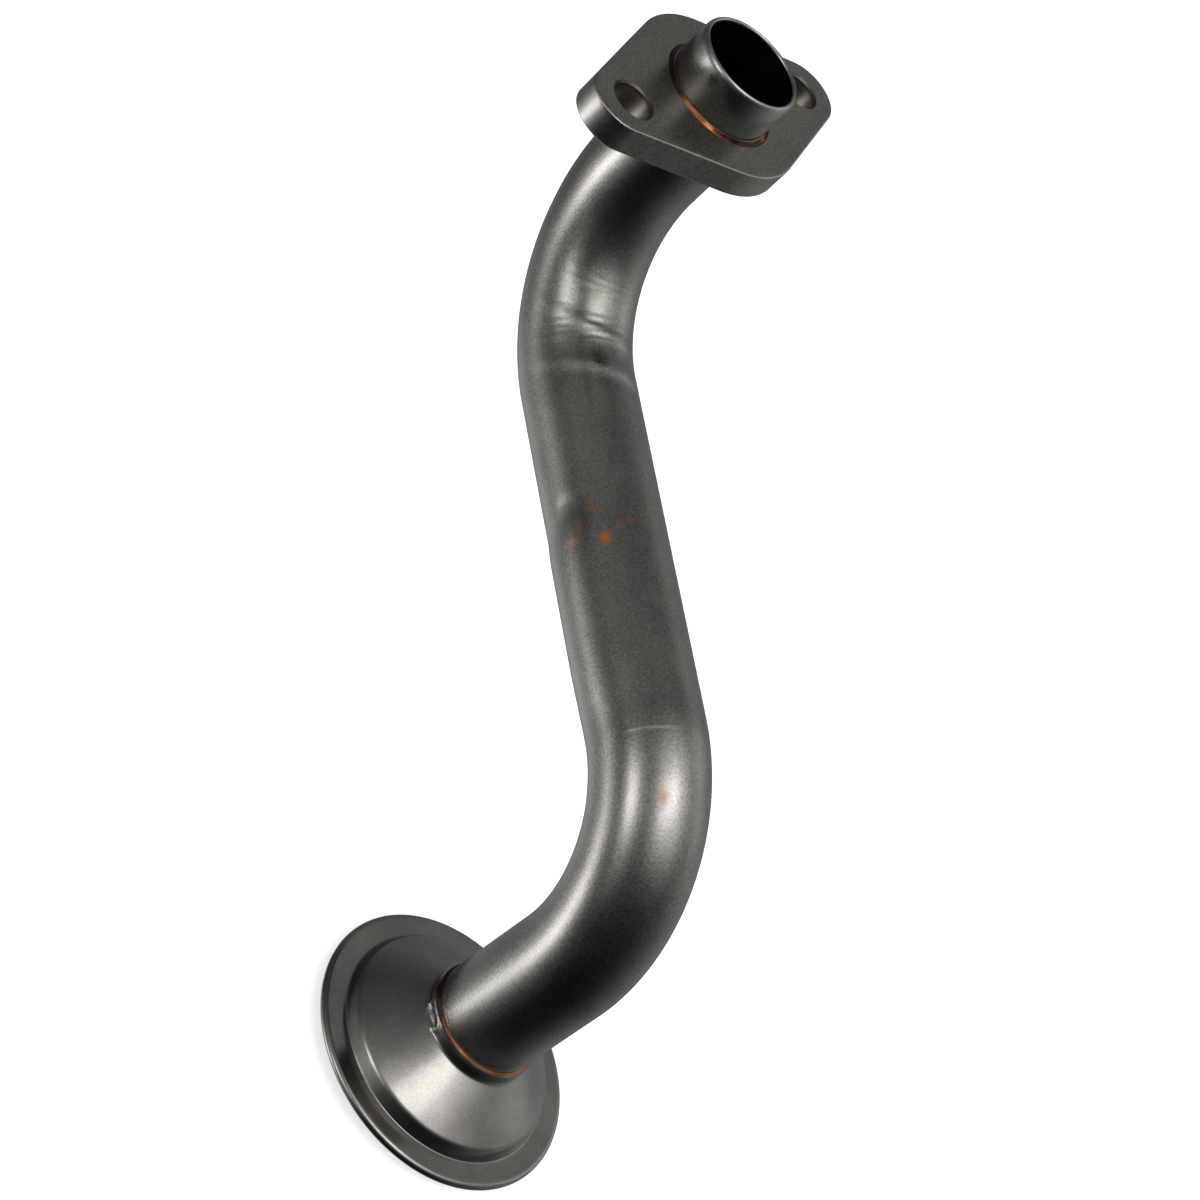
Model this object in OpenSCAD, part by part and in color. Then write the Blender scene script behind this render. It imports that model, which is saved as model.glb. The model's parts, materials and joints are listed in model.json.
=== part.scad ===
// Oil pickup tube: a bent steel suction tube with a two-bolt flange and a strainer bell.
// Frame: origin at the centre of the flange's mating face, +Z out of the spigot,
// +X along the line of the bolt holes. The bell hangs below, mouth down.

/* [Tube] */
// Outside diameter of the tube
tube_od = 30; // [26:0.5:34]
// Wall thickness of the tube
tube_wall = 1.5; // [1.5:0.1:2.5]
// Centreline radius of both bends
bend_r = 45; // [36:0.5:60]
// Angle that the first bend turns
first_angle = 86; // [45:0.5:100]
// Angle that the second bend turns
second_angle = 85; // [45:0.5:100]
// How far the bends are drawn in below the straight stretches, in radius
bend_draw = 0.05; // [0.02:0.01:0.2]
// Height of the spigot above the mating face
spigot_h = 13; // [8:0.5:25]
// How far the spigot is sized down below the tube, in radius
spigot_draw = 0.25; // [0.1:0.05:0.35]
// Radius of the spigot's rounded lip
lip_r = 0.9; // [0.4:0.1:1.1]
// Length of tube axis from the mating face to the first bend
first_l = 27.3; // [20:0.1:60]
// Straight length between the two bends
mid_l = 97.5; // [40:0.5:200]
// Turn of the second bend's plane about the middle stretch
plane_turn = 2.8; // [-30:0.1:30]
// Straight length from the second bend to the top of the bell's collar
end_l = 30.5; // [15:0.5:80]
// Angle from the line of the bolt holes to the plane of the first bend
bend_clock = 67; // [-180:1:180]

/* [Flange] */
// Length of the flange along the line of the bolt holes
flange_l = 94; // [90:0.5:110]
// Width of the flange across the spigot
flange_w = 51.2; // [46:0.1:64]
// Thickness of the flange
flange_t = 8; // [5:0.5:14]
// Radius of the flange's two ends
flange_end_r = 10; // [8:0.5:14]
// Rounding of the flange's top and bottom edges
flange_edge_r = 0.5; // [0.3:0.1:1.5]
// Distance between the two bolt holes
bolt_pitch = 70; // [64:0.5:76]
// Diameter of the bolt holes
bolt_hole_d = 11; // [8.5:0.1:11.5]
// Chamfer on both mouths of each bolt hole
bolt_chamfer = 0.5; // [0.2:0.1:1]

/* [Bell] */
// Diameter over the bell's hemmed rim
bell_od = 75.8; // [70:0.2:90]
// Height of the bell from the rim to the top of its collar
bell_h = 19.3; // [17:0.1:30]
// Sheet thickness of the bell
bell_t = 1; // [0.8:0.1:1.4]
// Height of the collar around the tube
collar_h = 3.7; // [2.5:0.1:5]
// Width of the flat ledge inside the rim
ledge_w = 7; // [5:0.1:9]
// Height of the step from the ledge to the cone
step_h = 3.9; // [2:0.1:6]
// Inward run of the step
step_run = 1.6; // [1:0.1:4]
// Width of the hem's return under the screen
hem_w = 3; // [2:0.1:4]

/* [Screen] */
// Thickness of the perforated strainer disc
screen_t = 0.6; // [0.4:0.1:1]
// Diameter of the strainer holes
screen_hole_d = 4.2; // [2:0.1:4.8]
// Distance between neighbouring strainer holes
screen_pitch = 6; // [5:0.1:6.2]
// Rings of holes around the middle one
screen_rings = 5; // [2:1:5]
// Radial clearance between the disc's edge and the start of the hem's curve
screen_gap = 0.2; // [0.1:0.1:0.6]

/* [Braze] */
// Radial gap that the braze fills between the tube and the pieces on it
braze_gap = 0.05; // [0.02:0.01:0.1]
// Chamfer of the flange bore that holds the braze ring
braze_chamfer = 1.2; // [0.8:0.1:2]
// Depth of the flange's braze ring below the mating face at its outer edge
braze_recess = 0.3; // [0.1:0.1:0.6]
// Rise of the flange's braze ring up the tube
braze_rise = 0.6; // [0.3:0.1:1]
// Width of the bell's braze ring on the collar's top edge, and its rise up the tube
collar_braze = 0.45; // [0.3:0.05:0.8]

/* [Hidden] */
$fn = 96;
steel = [0.33, 0.33, 0.33];
plate_steel = [0.28, 0.28, 0.28];
copper = [0.66, 0.36, 0.20];

tube_r = tube_od / 2;
bore_r = tube_r - tube_wall;
spigot_r = tube_r - spigot_draw;
seat_r = tube_r + braze_gap;
// The straight stretches run this far onto the drawn-in bends
bend_lap = 0.2;

// Bell section: heights are measured up from the rim's underside, at mid-thickness
hem_r = (bell_t + screen_t) / 2;
return_z = bell_t / 2;
ledge_z = return_z + 2 * hem_r;
rim_x = bell_od / 2 - bell_t / 2;
foot_x = bell_od / 2 - ledge_w;
collar_x = seat_r + bell_t / 2;
foot_bend_r = 0.9;
shoulder_bend_r = 2.2;
collar_bend_r = 1.8;
arc_steps = 6;

// Flange outline: a middle circle and two end circles joined by tangents
side_r = flange_w / 2;
end_x = flange_l / 2 - flange_end_r;
side_fn = 120;
end_fn = 72;
edge_fn = 16;

// Unit vector along v
function unit(v) = v / norm(v);

// Vector v turned left by angle t
function turned(v, t) = [v[0] * cos(t) - v[1] * sin(t), v[0] * sin(t) + v[1] * cos(t)];

// Points of the arc of radius r that rounds the corner b of the path a, b, c
function corner(a, b, c, r) =
    let (
        u = unit(b - a),
        w = unit(c - b),
        turn = atan2(cross(u, w), u * w),
        start = b - u * r * tan(abs(turn) / 2),
        spoke = turned(u, -90) * r * sign(turn)
    )
    [for (i = [0:arc_steps]) start - spoke + turned(spoke, turn * i / arc_steps)];

// Path through points [x, y, r], with each inner corner rounded by its r
function rounded(p) =
    let (
        last = len(p) - 1,
        xy = [for (q = p) [q[0], q[1]]]
    )
    [
        xy[0],
        for (i = [1:last - 1]) each corner(xy[i - 1], xy[i], xy[i + 1], p[i][2]),
        xy[last]
    ];

// Path p without repeated points
function distinct(p) = [for (i = [0:len(p) - 1]) if (i == 0 || norm(p[i] - p[max(i, 1) - 1]) > 0.001) p[i]];

// Path p moved to its left by d
function beside(p, d) =
    let (last = len(p) - 1)
    [
        for (i = [0:last])
            let (
                u = unit(p[max(i, 1)] - p[max(i, 1) - 1]),
                w = unit(p[min(i, last - 1) + 1] - p[min(i, last - 1)]),
                n = turned(u, 90) + turned(w, 90)
            )
            p[i] + n * d / (1 + u * w)
    ];

function reversed(p) = [for (i = [len(p) - 1:-1:0]) p[i]];

// Moves children to the end of a bend that starts at the origin, heads down and turns to +X
module after_bend(angle) {
    translate([bend_r * (1 - cos(angle)), 0, -bend_r * sin(angle)])
        rotate([0, -angle, 0])
            children();
}

module at_first_bend() {
    translate([0, 0, -first_l])
        rotate([0, 0, bend_clock])
            children();
}

module at_second_bend() {
    at_first_bend()
        after_bend(first_angle)
            translate([0, 0, -mid_l])
                rotate([0, 0, 180 + plane_turn])
                    children();
}

// Frame at the end of the second bend: -Z leads to the bell's mouth
module at_tube_end() {
    at_second_bend()
        after_bend(second_angle)
            children();
}

// Frame on the bell's axis at the underside of its rim, +Z up into the tube
module at_bell() {
    at_tube_end()
        translate([0, 0, -end_l - bell_h])
            children();
}

// Bent stretch of tube
module bend(angle) {
    translate([bend_r, 0, 0])
        rotate([90, 0, 0])
            rotate([0, 0, 180])
                rotate_extrude(angle = angle)
                    translate([bend_r, 0])
                        tube_ring(bend_draw);
}

// Straight stretch of tube of length l, down from the end of a bend, with a lap onto the next one
module straight(l, next_lap) {
    translate([0, 0, -l - next_lap])
        linear_extrude(l + bend_lap + next_lap)
            tube_ring(0);
}

// Section of the tube, drawn in by the given amount
module tube_ring(draw) {
    difference() {
        circle(tube_r - draw);
        circle(bore_r - draw);
    }
}

// First stretch, from the rounded lip through the flange to the first bend
module spigot_stretch() {
    foot = -first_l - bend_lap;
    rotate_extrude() {
        translate([bore_r, foot])
            square([tube_wall, braze_rise - foot]);
        translate([bore_r, 0])
            square([spigot_r - bore_r, spigot_h - lip_r]);
        translate([bore_r, 0])
            square([spigot_r - lip_r - bore_r, spigot_h]);
        translate([spigot_r - lip_r, spigot_h - lip_r])
            circle(lip_r);
    }
}

module pickup_tube() {
    color(steel) {
        spigot_stretch();
        at_first_bend()
            bend(first_angle);
        at_first_bend()
            after_bend(first_angle)
                straight(mid_l, bend_lap);
        at_second_bend()
            bend(second_angle);
        at_tube_end()
            straight(end_l + collar_h, 0);
    }
}

// Half-section of a disc with rounded edges, of radius w
module edge_section(w) {
    difference() {
        translate([0, -flange_t])
            square([w, flange_t]);
        for (level = [0, -flange_t])
            translate([w - flange_edge_r, level - flange_edge_r])
                square([flange_edge_r, 2 * flange_edge_r]);
    }
    translate([w - flange_edge_r, -flange_t + flange_edge_r])
        square([flange_edge_r, flange_t - 2 * flange_edge_r]);
    for (level = [-flange_edge_r, flange_edge_r - flange_t])
        translate([w - flange_edge_r, level])
            circle(flange_edge_r, $fn = edge_fn);
}

// Solid plate with rounded edges, drawn around the middle and end discs
module flange_blank() {
    hull() {
        rotate_extrude($fn = side_fn)
            edge_section(side_r);
        for (side = [-1, 1])
            translate([side * end_x, 0, 0])
                rotate_extrude($fn = end_fn)
                    edge_section(flange_end_r);
    }
}

module bolt_hole() {
    r = bolt_hole_d / 2;
    translate([0, 0, -flange_t - 1])
        cylinder(r = r, h = flange_t + 2);
    translate([0, 0, -bolt_chamfer])
        cylinder(r1 = r, r2 = r + 2 * bolt_chamfer, h = 2 * bolt_chamfer);
    translate([0, 0, -flange_t - bolt_chamfer])
        cylinder(r1 = r + 2 * bolt_chamfer, r2 = r, h = 2 * bolt_chamfer);
}

module mounting_flange() {
    color(plate_steel)
        difference() {
            flange_blank();
            translate([0, 0, -flange_t - 1])
                cylinder(r = seat_r, h = flange_t + 2);
            translate([0, 0, -braze_chamfer])
                cylinder(r1 = seat_r, r2 = seat_r + 2 * braze_chamfer, h = 2 * braze_chamfer);
            for (side = [-1, 1])
                translate([side * bolt_pitch / 2, 0, 0])
                    bolt_hole();
        }
}

// Copper ring in the chamfer between the spigot and the flange
module flange_braze() {
    fill = braze_chamfer - braze_recess;
    color(copper)
        rotate_extrude()
            polygon([
                [tube_r, -braze_chamfer],
                [seat_r, -braze_chamfer],
                [seat_r + fill, -braze_recess],
                [tube_r, braze_rise]
            ]);
}

// Stamped sheet of even thickness: collar, cone, step, ledge and hem
module pickup_bell() {
    middle = distinct(rounded([
        [collar_x, bell_h, 0],
        [collar_x, bell_h - collar_h, collar_bend_r],
        [foot_x - step_run, ledge_z + step_h, shoulder_bend_r],
        [foot_x, ledge_z, foot_bend_r],
        [rim_x, ledge_z, hem_r],
        [rim_x, return_z, hem_r],
        [rim_x - hem_w, return_z, 0]
    ]));
    color(steel)
        at_bell()
            rotate_extrude()
                polygon(concat(beside(middle, bell_t / 2), reversed(beside(middle, -bell_t / 2))));
}

// Thin copper ring on the collar's top edge
module bell_braze() {
    color(copper)
        at_bell()
            translate([0, 0, bell_h])
                rotate_extrude()
                    polygon([
                        [tube_r, 0],
                        [seat_r + collar_braze, 0],
                        [tube_r, collar_braze]
                    ]);
}

// Perforated disc held in the hem
module strainer_screen() {
    color(steel)
        at_bell()
            translate([0, 0, bell_t])
                linear_extrude(screen_t)
                    difference() {
                        circle(rim_x - hem_r - screen_gap);
                        for (i = [-screen_rings:screen_rings], j = [-screen_rings:screen_rings])
                            if (abs(i + j) <= screen_rings)
                                translate(screen_pitch * [i + j / 2, j * sin(60)])
                                    circle(d = screen_hole_d);
                    }
}

pickup_tube();
mounting_flange();
flange_braze();
pickup_bell();
bell_braze();
strainer_screen();
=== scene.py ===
"""Looks of the oil pickup tube: a bent steel tube, a bolt-on flange and a stamped suction bell."""

import json
import math
from typing import NamedTuple

import bmesh
import bpy
from mathutils import Matrix, Vector, noise

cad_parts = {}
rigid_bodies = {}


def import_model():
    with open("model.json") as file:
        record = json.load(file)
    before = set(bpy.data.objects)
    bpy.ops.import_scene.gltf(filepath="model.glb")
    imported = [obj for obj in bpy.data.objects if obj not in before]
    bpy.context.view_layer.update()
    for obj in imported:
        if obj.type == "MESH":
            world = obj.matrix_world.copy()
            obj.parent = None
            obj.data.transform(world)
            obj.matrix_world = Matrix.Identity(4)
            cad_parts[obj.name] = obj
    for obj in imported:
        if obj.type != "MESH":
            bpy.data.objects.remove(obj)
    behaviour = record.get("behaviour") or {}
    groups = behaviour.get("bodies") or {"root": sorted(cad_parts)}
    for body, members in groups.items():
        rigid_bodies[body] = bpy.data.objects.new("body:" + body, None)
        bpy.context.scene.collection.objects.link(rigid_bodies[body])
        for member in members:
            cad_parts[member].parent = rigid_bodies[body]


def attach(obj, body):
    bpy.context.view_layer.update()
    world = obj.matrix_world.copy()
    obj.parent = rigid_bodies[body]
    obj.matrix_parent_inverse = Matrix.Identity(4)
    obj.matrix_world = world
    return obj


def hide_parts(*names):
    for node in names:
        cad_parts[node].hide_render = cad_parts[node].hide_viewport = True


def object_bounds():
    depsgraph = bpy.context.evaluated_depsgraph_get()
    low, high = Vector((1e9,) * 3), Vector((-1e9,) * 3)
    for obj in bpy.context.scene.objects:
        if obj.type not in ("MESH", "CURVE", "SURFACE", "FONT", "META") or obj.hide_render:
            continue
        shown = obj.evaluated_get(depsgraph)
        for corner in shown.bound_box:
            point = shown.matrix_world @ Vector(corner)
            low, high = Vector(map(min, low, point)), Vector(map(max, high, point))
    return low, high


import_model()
cad_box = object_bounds()

MM = 0.001

# Sizes of the part's source, in millimetres and radians
TUBE_R = 15.0
BORE_R = 13.5
SPIGOT_R = 14.75
SPIGOT_H = 13.0
BEND_R = 45.0
FIRST_ANGLE = math.radians(86)
SECOND_ANGLE = math.radians(85)
FIRST_L = 27.3
MID_L = 97.5
END_L = 30.5
PLANE_TURN = math.radians(2.8)
BEND_CLOCK = math.radians(67)
BRAZE_GAP = 0.05
BRAZE_RISE = 0.6
BRAZE_CHAMFER = 1.2
BRAZE_RECESS = 0.3
COLLAR_BRAZE = 0.45
FLANGE_L = 94.0
FLANGE_W = 51.2
FLANGE_T = 8.0
FLANGE_END_R = 10.0
FLANGE_EDGE_R = 0.5
BOLT_PITCH = 70.0
BOLT_R = 5.5
BOLT_CHAMFER = 0.5
BELL_R = 37.9
BELL_H = 19.3
BELL_T = 1.0
COLLAR_H = 3.7
LEDGE_W = 7.0
STEP_H = 3.9
STEP_RUN = 1.6
COLLAR_BEND_R = 1.8
SHOULDER_BEND_R = 2.2
FOOT_BEND_R = 0.9
HEM_W = 3.0
SCREEN_T = 0.6
SEAT_R = TUBE_R + BRAZE_GAP


# Frames along the tube. In each, -Z is the way the oil comes from.
def shift(x, y, z):
    return Matrix.Translation((x, y, z))


def turn(angle, axis):
    return Matrix.Rotation(angle, 4, axis)


def along_bend(angle):
    return shift(BEND_R * (1 - math.cos(angle)), 0, -BEND_R * math.sin(angle)) @ turn(-angle, "Y")


FIRST_BEND = shift(0, 0, -FIRST_L) @ turn(BEND_CLOCK, "Z")
MIDDLE = FIRST_BEND @ along_bend(FIRST_ANGLE)
SECOND_BEND = MIDDLE @ shift(0, 0, -MID_L) @ turn(math.pi + PLANE_TURN, "Z")
LAST = SECOND_BEND @ along_bend(SECOND_ANGLE)
BELL = LAST @ shift(0, 0, -END_L - BELL_H)
UNTURN = turn(-math.pi - PLANE_TURN, "Z")

# Distances along the tube's axis, from the spigot's lip
S_FIRST_BEND = SPIGOT_H + FIRST_L
S_MIDDLE = S_FIRST_BEND + BEND_R * FIRST_ANGLE
S_SECOND_BEND = S_MIDDLE + MID_L
S_LAST = S_SECOND_BEND + BEND_R * SECOND_ANGLE
S_END = S_LAST + END_L + COLLAR_H


def tube_frame(s):
    """Frame of the tube's section s millimetres from the lip; its X faces the first bend's inside."""
    if s <= S_FIRST_BEND:
        return shift(0, 0, SPIGOT_H - s) @ turn(BEND_CLOCK, "Z")
    if s <= S_MIDDLE:
        return FIRST_BEND @ along_bend((s - S_FIRST_BEND) / BEND_R)
    if s <= S_SECOND_BEND:
        return MIDDLE @ shift(0, 0, S_MIDDLE - s)
    if s <= S_LAST:
        return SECOND_BEND @ along_bend((s - S_SECOND_BEND) / BEND_R) @ UNTURN
    return LAST @ shift(0, 0, S_LAST - s) @ UNTURN


# Small helpers for shapes
def bell_curve(x, width):
    return math.exp(-((x / width) ** 2))


def angle_between(a, b):
    """Signed difference of two angles in degrees."""
    return (a - b + 180) % 360 - 180


def smooth_step(x, low, high):
    t = min(max((x - low) / (high - low), 0), 1)
    return t * t * (3 - 2 * t)


def arc(centre, r, start, end, steps):
    """Points of an arc; angles in degrees."""
    angles = [math.radians(start + (end - start) * i / steps) for i in range(steps + 1)]
    return [(centre[0] + r * math.cos(a), centre[1] + r * math.sin(a)) for a in angles]


def mesh_object(name, bm, materials, sharp_degrees=35):
    """Turns a bmesh in metres into a smooth-shaded object."""
    bmesh.ops.recalc_face_normals(bm, faces=bm.faces)
    mesh = bpy.data.meshes.new(name)
    bm.to_mesh(mesh)
    bm.free()
    for material in materials:
        mesh.materials.append(material)
    mesh.polygons.foreach_set("use_smooth", [True] * len(mesh.polygons))
    mesh.set_sharp_from_angle(angle=math.radians(sharp_degrees))
    obj = bpy.data.objects.new(name, mesh)
    bpy.context.scene.collection.objects.link(obj)
    return obj


def bridge(bm, low, high, material=0):
    """Quads between two closed rings of vertices."""
    faces = []
    for i in range(len(low)):
        j = (i + 1) % len(low)
        face = bm.faces.new((low[i], low[j], high[j], high[i]))
        face.material_index = material
        faces.append(face)
    return faces


def ring_edges(bm, ring):
    return [bm.edges.get((ring[i], ring[(i + 1) % len(ring)])) for i in range(len(ring))]


def stands_for(obj, node):
    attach(obj, "root")
    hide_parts(node)


# Materials
class Nodes:
    """Short calls for the nodes of a material or a world."""

    def __init__(self, owner):
        owner.use_nodes = True
        self.tree = owner.node_tree
        self.coords = self.tree.nodes.new("ShaderNodeTexCoord")

    def node(self, kind, inputs=(), **settings):
        made = self.tree.nodes.new(kind)
        for key, value in settings.items():
            setattr(made, key, value)
        for key, value in dict(inputs).items():
            if isinstance(value, bpy.types.NodeSocket):
                self.tree.links.new(value, made.inputs[key])
            else:
                made.inputs[key].default_value = value
        return made

    def scaled(self, coordinate, scale):
        """Coordinates stretched by a vector."""
        source = self.coords.outputs[coordinate]
        return self.node("ShaderNodeMapping", {"Vector": source, "Scale": scale}).outputs[0]

    def noise(self, vector, scale, detail=3.0, roughness=0.55):
        return self.node(
            "ShaderNodeTexNoise", {"Vector": vector, "Scale": scale, "Detail": detail, "Roughness": roughness}
        ).outputs["Fac"]

    def spread(self, value, low, high, to_low=0.0, to_high=1.0):
        """Value moved from one range to another, and held inside it."""
        return self.node(
            "ShaderNodeMapRange",
            {"Value": value, "From Min": low, "From Max": high, "To Min": to_low, "To Max": to_high},
        ).outputs[0]

    def math(self, operation, a, b):
        return self.node("ShaderNodeMath", {0: a, 1: b}, operation=operation, use_clamp=False).outputs[0]

    def blend(self, a, b, share):
        """Sum of two values, of which b has this share."""
        return self.math("ADD", self.math("MULTIPLY", a, 1 - share), self.math("MULTIPLY", b, share))

    def mix(self, factor, a, b):
        """Colour between a and b."""
        made = self.node("ShaderNodeMix", {0: factor}, data_type="RGBA")
        for socket, value in ((made.inputs[6], a), (made.inputs[7], b)):
            if isinstance(value, bpy.types.NodeSocket):
                self.tree.links.new(value, socket)
            else:
                socket.default_value = (*value, 1)
        return made.outputs[2]

    def seen(self):
        """1 where the camera looks straight at the surface, 0 in reflections."""
        return self.node("ShaderNodeLightPath").outputs["Is Camera Ray"]


class Shader(Nodes):
    """A Principled material."""

    def __init__(self, name, metallic=1.0):
        self.material = bpy.data.materials.new(name)
        super().__init__(self.material)
        self.bsdf = self.tree.nodes["Principled BSDF"]
        self.bsdf.inputs["Metallic"].default_value = metallic

    def attribute(self, name):
        return self.node("ShaderNodeAttribute", attribute_name=name).outputs["Fac"]

    def spot(self, centre, size, ragged):
        """Mask that is 1 inside an ellipse of the unrolled surface, with a soft and ragged edge."""
        scale = (2 / size[0], 2 / size[1], 1)
        place = (-centre[0] * scale[0], -centre[1] * scale[1], 0)
        surface = self.coords.outputs["UV"]
        mapped = self.node("ShaderNodeMapping", {"Vector": surface, "Location": place, "Scale": scale})
        length = self.node("ShaderNodeVectorMath", {0: mapped.outputs[0]}, operation="LENGTH")
        distance = self.math("ADD", length.outputs["Value"], ragged)
        return self.spread(distance, *SPOT_EDGE)

    def bump(self, height, distance, strength=1.0, under=None):
        inputs = {"Height": height, "Distance": distance, "Strength": strength}
        if under is not None:
            inputs["Normal"] = under
        return self.node("ShaderNodeBump", inputs).outputs[0]

    def finish(self, colour, roughness, normal):
        for key, socket in (("Base Color", colour), ("Roughness", roughness), ("Normal", normal)):
            self.tree.links.new(socket, self.bsdf.inputs[key])
        return self.material


# Colours
TUBE_DARK = (0.138, 0.133, 0.126)
TUBE_PALE = (0.255, 0.248, 0.233)
STAIN_ORANGE = (0.55, 0.24, 0.10)
STAIN_BROWN = (0.30, 0.165, 0.11)
STAIN_PINK = (0.31, 0.18, 0.155)
STAIN_FAINT = (0.17, 0.115, 0.1)
# Lit and shaded copies of the copper, for its painted highlight and shade
COPPER_LIT = (0.40, 0.17, 0.08)
COPPER_SHADED = (0.04, 0.022, 0.017)
FLANGE_DARK = (0.17, 0.164, 0.152)
FLANGE_PALE = (0.298, 0.287, 0.267)
HOLE_BROWN = (0.235, 0.205, 0.175)
# Worn edges, and the painted highlight on one end's side
EDGE_RUB_AND_END_HIGHLIGHT = (0.38, 0.37, 0.36)
# Painted shade on the bolt holes' chamfers
RIM_SHADE_COLOUR = (0.05, 0.048, 0.045)
# Skin painted paler: painted highlights, and the spigot's worn wall
HIGHLIGHT_AND_RUB_DARK = (0.34, 0.332, 0.317)
HIGHLIGHT_AND_RUB_PALE = (0.54, 0.528, 0.503)
# Painted shade, in the dent partly tarnished
SHADE_AND_TARNISH = (0.075, 0.075, 0.062)
BELL_DARK = (0.155, 0.149, 0.141)
BELL_PALE = (0.28, 0.27, 0.255)
# Inside of the bore, painted near black as painted shade
BORE_SHADE_DARK = (0.005, 0.005, 0.005)
BORE_SHADE_PALE = (0.014, 0.0135, 0.013)

# Copper stains on the tube: distance from the lip, angle, size around and along in millimetres, colour
STAINS = (
    (150.7, 306, (3.2, 1.9), STAIN_BROWN),
    (154.4, 291, (1.9, 3.8), STAIN_BROWN),
    (157.6, 281, (1.8, 2.2), STAIN_PINK),
    (159.3, 313, (2.6, 3.4), STAIN_ORANGE),
    (155.8, 330, (1.8, 1.8), STAIN_PINK),
    (155.2, 340, (1.9, 1.6), STAIN_PINK),
    (223.6, 333, (2.2, 3.4), STAIN_FAINT),
)
# Where a stain's edge ends and begins, as a share of its half size
SPOT_EDGE = (2.1, 0.8)
# How brown the bolt holes' walls are, and how much rougher than the flange
HOLE_TINT = 0.7
HOLE_ROUGH = 0.15


def tube_steel():
    sh = Shader("tube_steel")
    place = sh.coords.outputs["Object"]
    cloud = sh.noise(place, scale=45, detail=4)
    speck = sh.noise(place, scale=1500, detail=2)
    rings = sh.noise(sh.scaled("UV", (0.25, 2.2, 1)), scale=1.0, detail=3)
    tone = sh.blend(cloud, speck, 0.55)
    grain = sh.spread(tone, 0.34, 0.66)
    colour = sh.mix(grain, TUBE_DARK, TUBE_PALE)
    # Painted highlights, and the spigot's worn wall
    colour = sh.mix(sh.attribute("painted_highlight_and_rub"), colour, sh.mix(grain, HIGHLIGHT_AND_RUB_DARK, HIGHLIGHT_AND_RUB_PALE))
    # Painted shade, in the dent partly tarnished
    colour = sh.mix(sh.attribute("painted_shade_and_tarnish"), colour, SHADE_AND_TARNISH)
    ragged = sh.noise(place, scale=700, detail=3)
    for s, degrees, size, tint in STAINS:
        centre = (math.radians((degrees - SEAM) % 360) * TUBE_R, s)
        colour = sh.mix(sh.spot(centre, size, ragged), colour, tint)
    roughness = sh.spread(sh.math("ADD", cloud, speck), 0.7, 1.3, 0.18, 0.27)
    normal = sh.bump(rings, distance=0.00003, strength=0.4)
    normal = sh.bump(speck, distance=0.00003, strength=0.5, under=normal)
    return sh.finish(colour, roughness, normal)


def painted_dark_bore():
    sh = Shader("painted_dark_bore")
    place = sh.coords.outputs["Object"]
    cloud = sh.noise(place, scale=120, detail=4)
    speck = sh.noise(place, scale=1500, detail=2)
    # Near-black painted shade inside the bore
    colour = sh.mix(sh.spread(cloud, 0.3, 0.7), BORE_SHADE_DARK, BORE_SHADE_PALE)
    roughness = sh.spread(cloud, 0.3, 0.7, 0.5, 0.7)
    return sh.finish(colour, roughness, sh.bump(speck, distance=0.00005, strength=0.5))


def flange_steel():
    sh = Shader("flange_steel")
    place = sh.coords.outputs["Object"]
    cloud = sh.noise(place, scale=70, detail=4)
    speck = sh.noise(place, scale=1100, detail=3)
    tone = sh.blend(cloud, speck, 0.65)
    colour = sh.mix(sh.spread(tone, 0.36, 0.64), FLANGE_DARK, FLANGE_PALE)
    colour = sh.mix(sh.math("MULTIPLY", sh.attribute("hole_wall"), HOLE_TINT), colour, HOLE_BROWN)
    patchy = sh.spread(sh.noise(place, scale=400, detail=3), 0.3, 0.6, 0.35, 0.9)
    # Worn edges, and a painted highlight on the side of the +X end
    wear_and_highlight = sh.math("MULTIPLY", sh.attribute("edge_wear_and_end_highlight"), patchy)
    colour = sh.mix(wear_and_highlight, colour, EDGE_RUB_AND_END_HIGHLIGHT)
    # Painted shade on the bolt holes' chamfers
    colour = sh.mix(sh.attribute("painted_rim_shade"), colour, RIM_SHADE_COLOUR)
    smooth = sh.spread(tone, 0.3, 0.7, 0.25, 0.35)
    roughness = sh.math("ADD", smooth, sh.math("MULTIPLY", sh.attribute("hole_wall"), HOLE_ROUGH))
    return sh.finish(colour, roughness, sh.bump(speck, distance=0.00005, strength=0.6))


def bell_steel():
    sh = Shader("bell_steel")
    place = sh.coords.outputs["Object"]
    cloud = sh.noise(place, scale=55, detail=4)
    speck = sh.noise(place, scale=1700, detail=2)
    drawn = sh.noise(sh.scaled("UV", (60.0, 0.35, 1)), scale=1.0, detail=3)
    tone = sh.blend(cloud, speck, 0.3)
    colour = sh.mix(sh.spread(tone, 0.32, 0.68), BELL_DARK, BELL_PALE)
    roughness = sh.spread(cloud, 0.3, 0.7, 0.14, 0.19)
    normal = sh.bump(drawn, distance=0.00002, strength=0.2)
    return sh.finish(colour, roughness, sh.bump(speck, distance=0.00002, strength=0.15, under=normal))


def screen_steel():
    sh = Shader("screen_steel")
    place = sh.coords.outputs["Object"]
    cloud = sh.noise(place, scale=80, detail=4)
    speck = sh.noise(place, scale=1500, detail=2)
    colour = sh.mix(sh.spread(cloud, 0.3, 0.7), BELL_DARK, BELL_PALE)
    roughness = sh.spread(speck, 0.3, 0.7, 0.34, 0.46)
    return sh.finish(colour, roughness, sh.bump(speck, distance=0.00004, strength=0.4))


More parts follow.
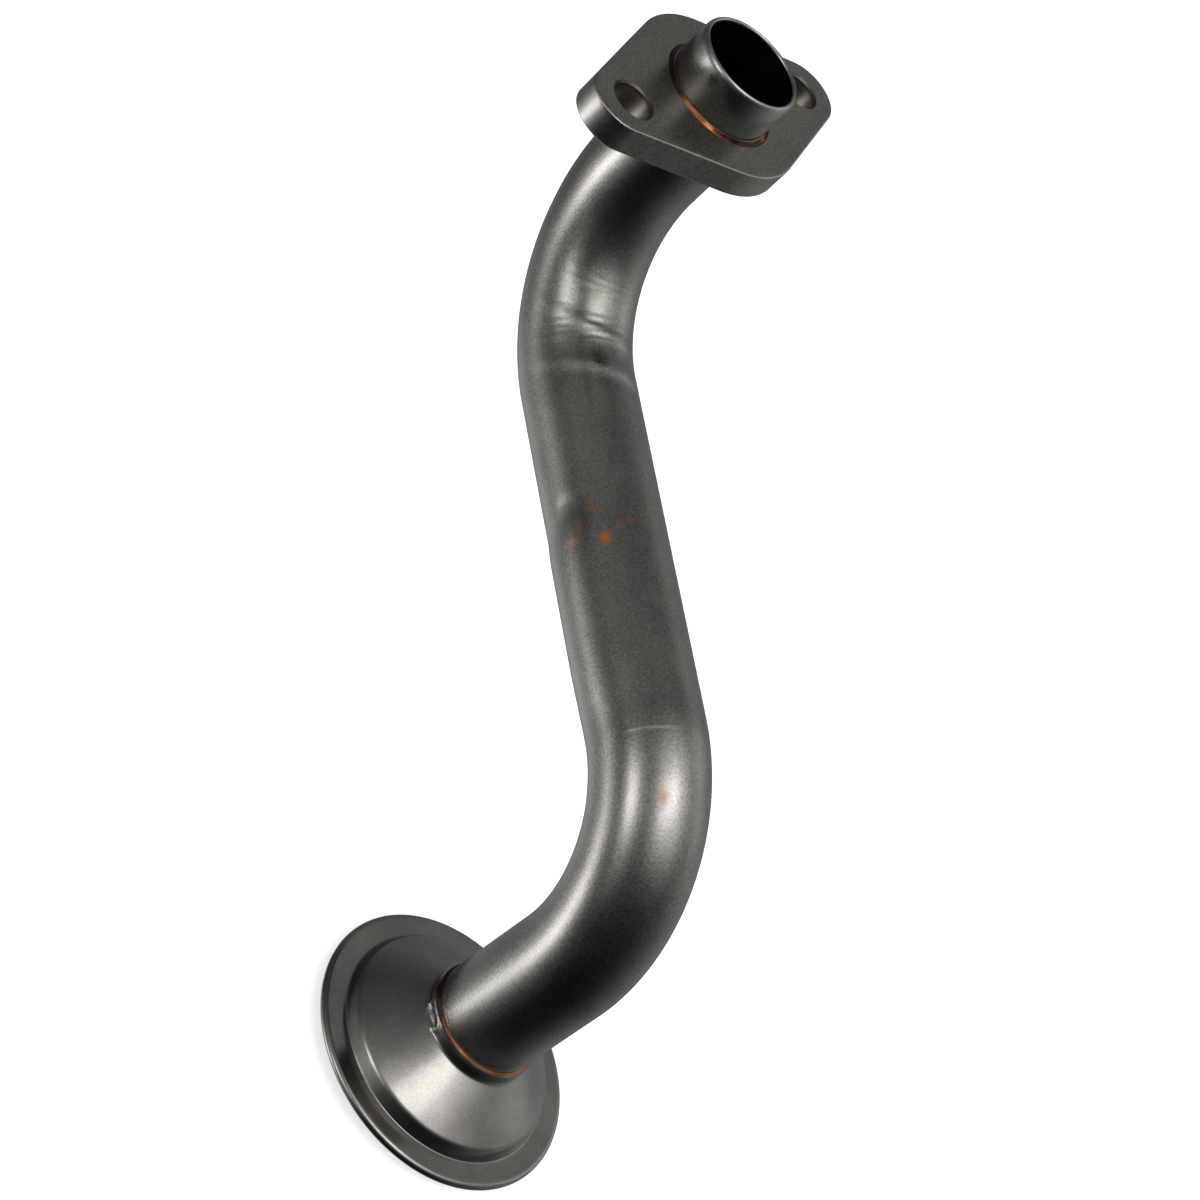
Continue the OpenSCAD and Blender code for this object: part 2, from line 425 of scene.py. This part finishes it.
def copper_braze():
    sh = Shader("copper_braze")
    place = sh.coords.outputs["Object"]
    patch = sh.noise(place, scale=320, detail=4)
    speck = sh.noise(place, scale=1200, detail=3)
    # Painted highlight by angle, broken by random patches
    painted_copper_highlight = sh.math("ADD", sh.attribute("painted_copper_highlight"), patch)
    colour = sh.mix(sh.spread(painted_copper_highlight, 0.6, 1.35), COPPER_SHADED, COPPER_LIT)
    roughness = sh.spread(speck, 0.3, 0.7, 0.34, 0.55)
    return sh.finish(colour, roughness, sh.bump(speck, distance=0.00006, strength=0.6))


# The tube, with the marks that bending and handling left on it, and its painted highlights and shade

# Points around it, and millimetres between its rings
AROUND = 144
STEP = 0.9
# Stretches with finer rings: from, to, step
FINE = ((74, 122, 0.45), (144, 160, 0.6), (208.5, 211.5, 0.15))
BORE_STEP = 3.0
# Rounding of the spigot's lip, outside and inside, drawn out as the photograph shows it
LIP_W, LIP_H = 0.95, 2.0
LIP_IN_W, LIP_IN_H = 0.6, 0.9
# Angles at which both roundings begin and end, from the bore over the lip
LIP_IN_ARC = (10, 90)
LIP_ARC = (80, 8)
LIP_STEPS = 10
# Rings of the spigot's wall, as shares of its height, and the short step up to the tube's radius
SPIGOT_RINGS = (0.4, 0.7, 1.0)
SPIGOT_STEP = 0.05
# Stretch inside the bell's collar that takes no marks
PLAIN_END = 6.0
# Angle of the unrolled surface's seam, out of the camera's sight
SEAM = 140.0


# Folds across the first bend's inside, in millimetres from the lip; both lean, by millimetres a degree, and
# half as much past their middle. Strips along the crest are (distance past it, width, amount): the first is a
# painted highlight past the crest, the second a painted shade before it.
class Fold(NamedTuple):
    at: float
    height: float
    above: float
    below: float
    lean: float
    painted_bright: tuple
    painted_dark: tuple


FOLDS = (
    Fold(95.6, 0.13, 2.2, 4.5, 0.16, (2.2, 2.4, 0.55), (-1.8, 1.4, 0.5)),
    Fold(109.6, 0.15, 5.0, 2.4, 0.08, (1.9, 1.8, 1.0), (-2.8, 1.6, 0.2)),
)
FOLD_ANGLE = 342.0
FOLD_SPREAD = 48.0
FOLD_CREST = 0.5
# Small wrinkles around them
WRINKLE_FROM, WRINKLE_TO, WRINKLE_FADE = 74.0, 104.0, 7.0
WRINKLE_HEIGHT = 0.08
WRINKLE_LENGTH = 1.8
WRINKLE_TURN = 28.0
# Dents: distance from the lip, angle, reach above, below and around, depth
DENTS = ((146.4, 282.0, 1.7, 5.5, 13.0, 0.25), (151.6, 257.0, 6.0, 7.0, 20.0, 0.45))
# Swelling below the dents, where the tube was clamped: where it begins and ends
SWELL_BEGINS = (149.0, 157.0)
SWELL_ENDS = (185.0, 208.0)
SWELL_ANGLE = 252.0
SWELL_SPREAD = 42.0
SWELL_HEIGHT = 0.5
# Line that the bending die left
DIE_LINE_S = 210.0
DIE_LINE_WIDTH = 0.35
DIE_LINE_HEIGHT = 0.04
DIE_LINE_ANGLE = 323.0
DIE_LINE_SPREAD = 24.0
# Painted highlight along that line
DIE_LINE_HIGHLIGHT = 0.5
# Faint ripple of both bends
RIPPLE = 0.03
RIPPLE_FADE = 12.0
RIPPLE_LENGTH = 14.0
RIPPLE_TURN = 1.3
# Patches of painted highlight, then of painted shade (the one in the dent partly tarnished): distance from
# the lip, angle, reach along and around, amount
HIGHLIGHT_PATCHES = (
    (47, 297, 13, 22, 0.6),
    (85.5, 316, 5.5, 6, 1.0),
    (107.5, 343, 3.2, 14, 0.7),
    (224, 300, 8, 7, 0.45),
    (222, 350, 10, 14, 0.4),
    (258, 270, 16, 11, 0.55),
)
# Painted shade; the last one, in the dent, partly tarnished
SHADE_AND_TARNISH_PATCHES = (
    (83, 300, 6, 7, 0.35),
    (81.5, 337, 6, 9, 0.7),
    (87, 327, 7, 6, 0.6),
    (149.8, 283, 4.5, 14, 0.85),
)
# Painted highlight on the lip, and how far the spigot's wall is worn bright
LIP_HIGHLIGHT = 0.4
SPIGOT_RUB = 0.14


def spot_share(s, degrees, at, angle, reach, spread):
    return bell_curve(s - at, reach) * bell_curve(angle_between(degrees, angle), spread)


def past_fold(fold, s, degrees):
    """Share of a fold at this angle, and the distance past its crest."""
    side = angle_between(degrees, FOLD_ANGLE)
    return bell_curve(side, FOLD_SPREAD), s - fold.at - fold.lean * min(side, side / 2)


def fold_height(fold, s, degrees):
    """Ridge with a narrow crest and long flanks."""
    share, past = past_fold(fold, s, degrees)
    reach = fold.above if past < 0 else fold.below
    return share * fold.height * math.exp(-(math.hypot(past, FOLD_CREST) - FOLD_CREST) / reach)


def strip_along(fold, strip, s, degrees):
    share, past = past_fold(fold, s, degrees)
    return strip[2] * share * bell_curve(past - strip[0], strip[1])


def die_line(s, degrees):
    return spot_share(s, degrees, DIE_LINE_S, DIE_LINE_ANGLE, DIE_LINE_WIDTH, DIE_LINE_SPREAD)


def painted_highlight_and_rub(s, degrees):
    """Painted highlight on the skin: past the folds' crests, in patches and along the die line."""
    strips = sum(strip_along(fold, fold.painted_bright, s, degrees) for fold in FOLDS)
    patches = sum(amount * spot_share(s, degrees, *place) for *place, amount in HIGHLIGHT_PATCHES)
    return strips + patches + DIE_LINE_HIGHLIGHT * die_line(s, degrees)


def painted_shade_and_tarnish(s, degrees):
    """Painted shade on the skin: before the folds' crests and in patches; in the dent partly tarnished."""
    strips = sum(strip_along(fold, fold.painted_dark, s, degrees) for fold in FOLDS)
    return strips + sum(amount * spot_share(s, degrees, *place) for *place, amount in SHADE_AND_TARNISH_PATCHES)


def lip_highlight_and_spigot_rub(s, r):
    """Painted highlight on the lip, and the spigot's worn wall, where the skin takes no other marks."""
    if s < LIP_H:
        return LIP_HIGHLIGHT
    return SPIGOT_RUB if r == SPIGOT_R else 0.0


def between(s, start, end, fade):
    """1 from start to end, fading out inside both."""
    return smooth_step(s, start, start + fade) - smooth_step(s, end - fade, end)


def tube_marks(s, degrees):
    """How far the tube's skin stands out from its true round, in millimetres."""
    height = sum(fold_height(fold, s, degrees) for fold in FOLDS)
    side = angle_between(degrees, FOLD_ANGLE)
    small = noise.noise(Vector((s / WRINKLE_LENGTH, side / WRINKLE_TURN, 0)))
    wrinkled = between(s, WRINKLE_FROM, WRINKLE_TO, WRINKLE_FADE) * bell_curve(side, FOLD_SPREAD)
    height += WRINKLE_HEIGHT * wrinkled * small
    for at, angle, above, below, spread, depth in DENTS:
        height -= depth * spot_share(s, degrees, at, angle, above if s < at else below, spread)
    swell = smooth_step(s, *SWELL_BEGINS) - smooth_step(s, *SWELL_ENDS)
    height += SWELL_HEIGHT * swell * bell_curve(angle_between(degrees, SWELL_ANGLE), SWELL_SPREAD)
    height += DIE_LINE_HEIGHT * die_line(s, degrees)
    bent = between(s, S_FIRST_BEND, S_MIDDLE + RIPPLE_FADE, RIPPLE_FADE)
    bent += between(s, S_SECOND_BEND, S_LAST + RIPPLE_FADE, RIPPLE_FADE)
    a = math.radians(degrees)
    ripple = noise.noise(Vector((math.cos(a) * RIPPLE_TURN, math.sin(a) * RIPPLE_TURN, s / RIPPLE_LENGTH)))
    return height + RIPPLE * bent * ripple


def tube_profile():
    """Rings of the tube's skin from the bore's mouth over the lip to the far end, as (s, r)."""
    crest = SPIGOT_R - LIP_W
    rings = [(2 * LIP_IN_H, BORE_R)]
    rings += [(LIP_IN_H * (1 - y), crest - LIP_IN_W * x) for x, y in arc((0, 0), 1, *LIP_IN_ARC, LIP_STEPS)]
    rings += [(LIP_H * (1 - y), crest + LIP_W * x) for x, y in arc((0, 0), 1, *LIP_ARC, LIP_STEPS)]
    foot = SPIGOT_H - BRAZE_RISE
    rings += [(foot * share, SPIGOT_R) for share in SPIGOT_RINGS]
    s = foot + SPIGOT_STEP
    rings.append((s, TUBE_R))
    while s < S_END - STEP:
        s += next((step for low, high, step in FINE if low < s < high), STEP)
        rings.append((s, TUBE_R))
    rings.append((S_END, TUBE_R))
    return rings


def make_tube():
    bm = bmesh.new()
    uv = bm.loops.layers.uv.new("surface")
    painted_bright = bm.verts.layers.float.new("painted_highlight_and_rub")
    painted_dark = bm.verts.layers.float.new("painted_shade_and_tarnish")
    angles = [SEAM + 360 * i / AROUND for i in range(AROUND)]

    def ring(s, r, marked):
        m = tube_frame(s)
        points = []
        for degrees in angles:
            a = math.radians(degrees)
            out = r + (tube_marks(s, degrees) if marked else 0)
            points.append(bm.verts.new(m @ Vector((out * math.cos(a), out * math.sin(a), 0)) * MM))
            points[-1][painted_bright] = painted_highlight_and_rub(s, degrees) if marked else lip_highlight_and_spigot_rub(s, r)
            points[-1][painted_dark] = painted_shade_and_tarnish(s, degrees) if marked else 0
        return points

    skin = tube_profile()
    bore_steps = int(S_END / BORE_STEP)
    bore = [(S_END * (1 - i / bore_steps), BORE_R) for i in range(bore_steps)]
    stations = [(s, r, 0) for s, r in skin] + [(s, r, 1) for s, r in bore]
    rings = [ring(s, r, r == TUBE_R and s < S_END - PLAIN_END) for s, r, _ in stations]
    rings.append(rings[0])
    stations.append(stations[0])
    for k in range(len(rings) - 1):
        for i, face in enumerate(bridge(bm, rings[k], rings[k + 1], stations[k][2])):
            corners = ((i, k), (i + 1, k), (i + 1, k + 1), (i, k + 1))
            for loop, (around, along) in zip(face.loops, corners):
                loop[uv].uv = (around / AROUND * math.tau * TUBE_R, stations[along][0])
    return mesh_object("tube", bm, [tube_steel(), painted_dark_bore()])


# The flange: steps of its arcs, holes and edges
ARC_STEPS = 36
HOLE_STEPS = 64
EDGE_STEPS = 6
# How far the edges are worn, and how far painted shade darkens the holes' chamfers
EDGE_WEAR = 0.4
RIM_SHADE_AMOUNT = 0.85
# Bands over which that fades: beside an edge, around a bolt hole and down its wall
RUB_W = 0.8
RIM_BAND = 0.15
WALL_BAND = 1.0
# Painted highlight on the side of one end
END_HIGHLIGHT = 0.9
END_HIGHLIGHT_W = 7.0


def end_highlight(x, y, z):
    """Painted highlight on the side of the +X end, below its edge."""
    if z >= -FLANGE_EDGE_R:
        return 0.0
    return END_HIGHLIGHT * bell_curve(math.hypot(x - FLANGE_L / 2, y), END_HIGHLIGHT_W)


def flange_outline(inset):
    """The rounded rhombus, moved inwards."""
    side_r = FLANGE_W / 2
    end_x = FLANGE_L / 2 - FLANGE_END_R
    lean = math.degrees(math.acos((side_r - FLANGE_END_R) / end_x))
    side, end = side_r - inset, FLANGE_END_R - inset
    return (
        arc((end_x, 0), end, -lean, lean, ARC_STEPS)
        + arc((0, 0), side, lean, 180 - lean, ARC_STEPS)
        + arc((-end_x, 0), end, 180 - lean, 180 + lean, ARC_STEPS)
        + arc((0, 0), side, 180 + lean, 360 - lean, ARC_STEPS)
    )


def make_flange():
    bm = bmesh.new()
    wear_and_highlight = bm.verts.layers.float.new("edge_wear_and_end_highlight")
    inside = bm.verts.layers.float.new("hole_wall")
    rim = bm.verts.layers.float.new("painted_rim_shade")

    def ring(points, z, worn=0.0, hole_wall=0.0, shade_amount=0.0):
        made = []
        for x, y in points:
            made.append(bm.verts.new(Vector((x, y, z)) * MM))
            made[-1][wear_and_highlight] = worn + end_highlight(x, y, z)
            made[-1][inside] = hole_wall
            made[-1][rim] = shade_amount
        return made

    def hole(x, r):
        return [(x + px, py) for px, py in arc((0, 0), r, 0, 360, HOLE_STEPS)[:-1]]

    e = FLANGE_EDGE_R
    turns = [math.radians(90 * k / EDGE_STEPS) for k in range(EDGE_STEPS + 1)]
    levels = [(e + RUB_W, 0, 0.0)]
    levels += [(e * (1 - math.sin(a)), -e * (1 - math.cos(a)), EDGE_WEAR * math.sin(2 * a)) for a in turns]
    levels += [(0, -e - RUB_W, 0.0)]
    levels += [(inset, -FLANGE_T - z, worn) for inset, z, worn in reversed(levels)]
    sides = [ring(flange_outline(inset), z, worn) for inset, z, worn in levels]
    walls = [sides]
    for x in (-BOLT_PITCH / 2, BOLT_PITCH / 2):
        c = BOLT_CHAMFER
        rims = [
            (BOLT_R + c + RIM_BAND, 0, 0.0),
            (BOLT_R + c, 0, RIM_SHADE_AMOUNT),
            (BOLT_R, -c, RIM_SHADE_AMOUNT),
            (BOLT_R, -c - WALL_BAND, 0.0),
        ]
        rims += [(r, -FLANGE_T - z, shade_amount) for r, z, shade_amount in reversed(rims)]
        walls.append([ring(hole(x, r), z, 0.0, float(r == BOLT_R), shade_amount) for r, z, shade_amount in rims])
    seat = [(SEAT_R + BRAZE_CHAMFER, 0), (SEAT_R, -BRAZE_CHAMFER), (SEAT_R, -FLANGE_T)]
    walls.append([ring(hole(0, r), z) for r, z in seat])
    for rings in walls:
        for low, high in zip(rings, rings[1:]):
            bridge(bm, low, high)
    for end in (0, -1):
        edges = [edge for rings in walls for edge in ring_edges(bm, rings[end])]
        bmesh.ops.triangle_fill(bm, use_beauty=True, edges=edges)
    return mesh_object("flange", bm, [flange_steel()])


# Turned pieces: the bell and both rings of braze

# Points of a path that are nearer than this are one
SAME_POINT = 0.001


def rounded_path(points, steps):
    """Path through (x, y, r) whose inner corners are arcs of radius r."""
    path = [Vector(points[0][:2])]
    for before, corner, after in zip(points, points[1:], points[2:]):
        b = Vector(corner[:2])
        u = (b - Vector(before[:2])).normalized()
        w = (Vector(after[:2]) - b).normalized()
        bend = math.atan2(u.x * w.y - u.y * w.x, u.dot(w))
        r = corner[2]
        start = b - u * r * math.tan(abs(bend) / 2)
        spoke = Vector((u.y, -u.x)) * math.copysign(r, bend)
        for i in range(steps + 1):
            cos, sin = math.cos(bend * i / steps), math.sin(bend * i / steps)
            turned = Vector((spoke.x * cos - spoke.y * sin, spoke.x * sin + spoke.y * cos))
            path.append(start - spoke + turned)
    path.append(Vector(points[-1][:2]))
    return [p for i, p in enumerate(path) if i == 0 or (p - path[i - 1]).length > SAME_POINT]


def beside(path, d):
    """Path moved to its left."""
    moved = []
    last = len(path) - 1
    for i, p in enumerate(path):
        u = (path[max(i, 1)] - path[max(i, 1) - 1]).normalized()
        w = (path[min(i, last - 1) + 1] - path[min(i, last - 1)]).normalized()
        normal = Vector((-u.y - w.y, u.x + w.x))
        moved.append(p + normal * d / (1 + u.dot(w)))
    return moved


def copper_highlight_at(degrees, painted_copper_highlight):
    """Painted highlight of a ring of copper at this angle."""
    return sum(amount * bell_curve(angle_between(degrees, at), width) for at, width, amount in painted_copper_highlight)


def make_turned(name, section, place, material, around, marks=None, painted_copper_highlight=()):
    """Closed section of (r, z) turned about Z in a frame of the part, with a painted highlight at the given
    angles.
    """
    bm = bmesh.new()
    uv = bm.loops.layers.uv.new("surface")
    bright = bm.verts.layers.float.new("painted_copper_highlight")
    rings = []
    for r, z in section:
        ring = []
        for i in range(around):
            a = math.tau * i / around
            dr, dz = marks(a, r, z) if marks else (0, 0)
            out = r + dr
            ring.append(bm.verts.new(place @ Vector((out * math.cos(a), out * math.sin(a), z + dz)) * MM))
            ring[-1][bright] = copper_highlight_at(math.degrees(a), painted_copper_highlight)
        rings.append(ring)
    lengths = [0.0]
    for (r0, z0), (r1, z1) in zip(section, section[1:] + section[:1]):
        lengths.append(lengths[-1] + math.hypot(r1 - r0, z1 - z0))
    for k in range(len(rings)):
        for i, face in enumerate(bridge(bm, rings[k], rings[(k + 1) % len(rings)])):
            corners = ((i, k), (i + 1, k), (i + 1, k + 1), (i, k + 1))
            for loop, (step, along) in zip(face.loops, corners):
                loop[uv].uv = (step / around, lengths[along])
    return mesh_object(name, bm, [material])


# The bell: points around it, and steps of its rounded corners
BELL_AROUND = 216
BELL_STEPS = 9
# Stake mark on the collar: angle around the bell, height, half sizes, depth and raised edge
STAKE_ANGLE = 89.0
STAKE_Z = 17.0
STAKE_HALF_W = 3.8
STAKE_HALF_H = 1.9
STAKE_DEPTH = 0.3
STAKE_EDGE = 0.2
# Width of that edge and the slope inside it, as shares of the half sizes
STAKE_EDGE_W = 0.2
STAKE_SLOPE = (0.5, 0.9)
# The collar's outer skin, which alone takes the mark: radii and lowest height
STAKE_SKIN = (SEAT_R + BELL_T * 0.6, SEAT_R + BELL_T * 1.5)
STAKE_FOOT_Z = 14.0
# Longest stretch between the bell's rings
LONGEST_RING_STEP = 0.6


def divided(path, longest):
    """Path with extra points, so that no step is longer."""
    out = [path[0]]
    for a, b in zip(path, path[1:]):
        pieces = math.ceil((b - a).length / longest)
        out += [a.lerp(b, k / pieces) for k in range(1, pieces + 1)]
    return out


def bell_section():
    hem_r = (BELL_T + SCREEN_T) / 2
    return_z = BELL_T / 2
    ledge_z = return_z + 2 * hem_r
    rim_x = BELL_R - BELL_T / 2
    foot_x = BELL_R - LEDGE_W
    collar_x = SEAT_R + BELL_T / 2
    middle = rounded_path(
        [
            (collar_x, BELL_H, 0),
            (collar_x, BELL_H - COLLAR_H, COLLAR_BEND_R),
            (foot_x - STEP_RUN, ledge_z + STEP_H, SHOULDER_BEND_R),
            (foot_x, ledge_z, FOOT_BEND_R),
            (rim_x, ledge_z, hem_r),
            (rim_x, return_z, hem_r),
            (rim_x - HEM_W, return_z, 0),
        ],
        BELL_STEPS,
    )
    middle = divided(middle, LONGEST_RING_STEP)
    outer = beside(middle, BELL_T / 2)
    inner = beside(middle, -BELL_T / 2)
    return [tuple(p) for p in outer + inner[::-1]]


def make_bell():
    def stake(a, r, z):
        if r < STAKE_SKIN[0] or r > STAKE_SKIN[1] or z < STAKE_FOOT_Z:
            return 0, 0
        across = math.radians(angle_between(math.degrees(a), STAKE_ANGLE)) * r / STAKE_HALF_W
        away = math.hypot(across, (z - STAKE_Z) / STAKE_HALF_H)
        edge = STAKE_EDGE * bell_curve(away - 1, STAKE_EDGE_W)
        return edge - STAKE_DEPTH * (1 - smooth_step(away, *STAKE_SLOPE)), 0

    return make_turned("bell", bell_section(), BELL, bell_steel(), BELL_AROUND, stake)


# The copper: points around each ring
COPPER_AROUND = 144
# Knee of the flange's copper: out from the tube and up from the face
BRAZE_KNEE = (0.45, -0.1)
# How uneven that copper is, and how many lumps it has to a radius
BRAZE_UNEVEN = 0.3
BRAZE_LUMPS = 7.0
# Painted highlight on each ring of copper, painted in shade elsewhere: angle, spread in degrees, amount
FLANGE_COPPER_HIGHLIGHT = ((28.0, 26.0, 0.9), (115.0, 14.0, 0.45))
BELL_COPPER_HIGHLIGHT = ((198.0, 36.0, 0.75), (120.0, 40.0, 0.4))


def make_brazes(material):
    fill = BRAZE_CHAMFER - BRAZE_RECESS
    flange_ring = [
        (TUBE_R, -BRAZE_CHAMFER),
        (SEAT_R, -BRAZE_CHAMFER),
        (SEAT_R + fill, -BRAZE_RECESS),
        (TUBE_R + BRAZE_KNEE[0], BRAZE_KNEE[1]),
        (TUBE_R, BRAZE_RISE),
    ]
    bell_ring = [(TUBE_R, 0), (SEAT_R + COLLAR_BRAZE, 0), (TUBE_R, COLLAR_BRAZE)]

    def uneven(a, r, z):
        if r <= SEAT_R:
            return 0, 0
        lump = noise.noise(Vector((math.cos(a), math.sin(a), z)) * BRAZE_LUMPS)
        return BRAZE_UNEVEN * min(lump, 0), BRAZE_UNEVEN * lump

    at_flange = make_turned(
        "flange_copper", flange_ring, Matrix.Identity(4), material, COPPER_AROUND, uneven, FLANGE_COPPER_HIGHLIGHT
    )
    collar_top = BELL @ shift(0, 0, BELL_H)
    at_bell = make_turned("bell_copper", bell_ring, collar_top, material, COPPER_AROUND, painted_copper_highlight=BELL_COPPER_HIGHLIGHT)
    return at_flange, at_bell


# Building
tube = make_tube()
flange = make_flange()
bell = make_bell()
flange_copper, bell_copper = make_brazes(copper_braze())
stands_for(tube, "pickup_tube")
stands_for(flange, "mounting_flange")
stands_for(bell, "pickup_bell")
stands_for(flange_copper, "flange_braze")
stands_for(bell_copper, "bell_braze")

screen_look = screen_steel()
for obj in bpy.data.objects:
    if obj.type == "MESH" and obj.name == "strainer_screen":
        for slot in obj.material_slots:
            slot.material = screen_look

# Floor, kept out of the steel's reflections, which show the room alone
FLOOR_GAP = 0.0005
FLOOR_Z = cad_box[0][2] - FLOOR_GAP
FLOOR_SIZE = 8.0
FLOOR_COLOUR = (0.86, 0.86, 0.855)
FLOOR_MOTTLE = 0.99
FLOOR_GLOW = 0.62


def make_floor():
    bm = bmesh.new()
    bmesh.ops.create_grid(bm, x_segments=4, y_segments=4, size=FLOOR_SIZE / 2)
    sh = Shader("floor_pale", metallic=0.0)
    fine = sh.noise(sh.coords.outputs["Object"], scale=30, detail=2)
    colour = sh.mix(fine, FLOOR_COLOUR, tuple(c * FLOOR_MOTTLE for c in FLOOR_COLOUR))
    sh.bsdf.inputs["Emission Color"].default_value = (1, 1, 1, 1)
    sh.bsdf.inputs["Emission Strength"].default_value = FLOOR_GLOW
    roughness = sh.spread(fine, 0, 1, 0.8, 0.9)
    material = sh.finish(colour, roughness, sh.bump(fine, distance=0.0001, strength=0.05))
    floor = mesh_object("floor", bm, [material])
    floor.location.z = FLOOR_Z
    floor.visible_glossy = False


make_floor()

# Camera, at the photograph's angle
AIM = Vector((0.0362, 0.0906, -0.0852))
CAMERA_DISTANCE = 0.7146
CAMERA_AZIMUTH = math.radians(15.4)
CAMERA_ELEVATION = math.radians(37.3)
CAMERA_ROLL = math.radians(50.2)
LENS = 85.4
SENSOR_W = 36.0
FARTHEST_SEEN = 50.0

camera_azimuth = turn(CAMERA_AZIMUTH + math.pi / 2, "Z")
camera_tilt = turn(math.pi / 2 - CAMERA_ELEVATION, "X")
camera_turn = (camera_azimuth @ camera_tilt @ turn(CAMERA_ROLL, "Z")).to_3x3()
camera_up = camera_turn.col[1]
camera_data = bpy.data.cameras.new("camera")
camera_data.lens = LENS
camera_data.sensor_width = SENSOR_W
camera_data.clip_end = FARTHEST_SEEN
camera = bpy.data.objects.new("camera", camera_data)
camera.matrix_world = Matrix.Translation(AIM + camera_turn.col[2] * CAMERA_DISTANCE) @ camera_turn.to_4x4()
bpy.context.scene.collection.objects.link(camera)
bpy.context.scene.camera = camera

# Light: two soft boxes and a dim room with soft glows. Each is placed as the camera sees it: degrees away
# from the line to the camera, and degrees around that line from the picture's right.
BOX_DISTANCE = 2.5
# Name, place, size in metres, radiance
SOFT_BOXES = (
    ("near_left", (34, 150), (0.8, 0.8), 1.4),
    ("near_right", (38, 15), (1.5, 0.8), 1.3),
)
# The room's own light, in reflections and as the camera sees it
ROOM_GREY = 0.008
ROOM_SEEN = 1.0
# Name, place, half width in degrees, strength
GLOWS = (
    ("around_near_left", (34, 150), 13, 1.9),
    ("around_near_right", (30, 20), 15, 1.7),
    ("beside_near_right", (52, 10), 20, 2.0),
    ("left_edge", (85, 178), 9, 3.4),
    ("left_wide", (88, 175), 21, 1.2),
    ("left_behind", (133, 195), 22, 1.1),
    ("right_edge", (105, 5), 17, 0.8),
    ("right_behind", (116, -13), 37, 0.44),
    ("top_front", (32, 103), 36, 0.45),
    ("right_top", (95, 40), 24, 0.07),
    ("below_behind", (130, -62), 26, 0.15),
    ("top_behind", (133, 78), 30, 0.2),
)


def seen_at(place):
    """Direction from the part to a place in the room."""
    off, around = (math.radians(v) for v in place)
    side = math.sin(off)
    return camera_turn @ Vector((side * math.cos(around), side * math.sin(around), math.cos(off)))


def make_world():
    world = bpy.data.worlds.new("room")
    room = Nodes(world)
    direction = room.coords.outputs["Generated"]
    total = ROOM_GREY
    for _, place, half_width, strength in GLOWS:
        near = room.node("ShaderNodeVectorMath", {0: direction, 1: seen_at(place)}, operation="DOT_PRODUCT")
        sharpness = math.log(2) / (1 - math.cos(math.radians(half_width)))
        fall = room.math("MULTIPLY", room.math("SUBTRACT", near.outputs["Value"], 1.0), sharpness)
        total = room.math("ADD", total, room.math("MULTIPLY", room.math("EXPONENT", fall, 0.0), strength))
    shown = room.node("ShaderNodeMix", {0: room.seen(), 2: total, 3: ROOM_SEEN}, data_type="FLOAT").outputs[0]
    background = room.tree.nodes["Background"]
    background.inputs["Color"].default_value = (1, 1, 1, 1)
    room.tree.links.new(shown, background.inputs["Strength"])
    bpy.context.scene.world = world


def add_lights():
    for name, place, size, radiance in SOFT_BOXES:
        data = bpy.data.lights.new(name, "AREA")
        data.shape = "RECTANGLE"
        data.size, data.size_y = size
        data.energy = radiance * math.pi * size[0] * size[1]
        light = bpy.data.objects.new(name, data)
        away = seen_at(place)
        across = camera_up.cross(away).normalized()
        turned = Matrix((across, away.cross(across), away)).transposed()
        light.matrix_world = Matrix.Translation(AIM + away * BOX_DISTANCE) @ turned.to_4x4()
        light.visible_camera = False
        bpy.context.scene.collection.objects.link(light)


make_world()
add_lights()
bpy.context.scene.view_settings.view_transform = "Standard"
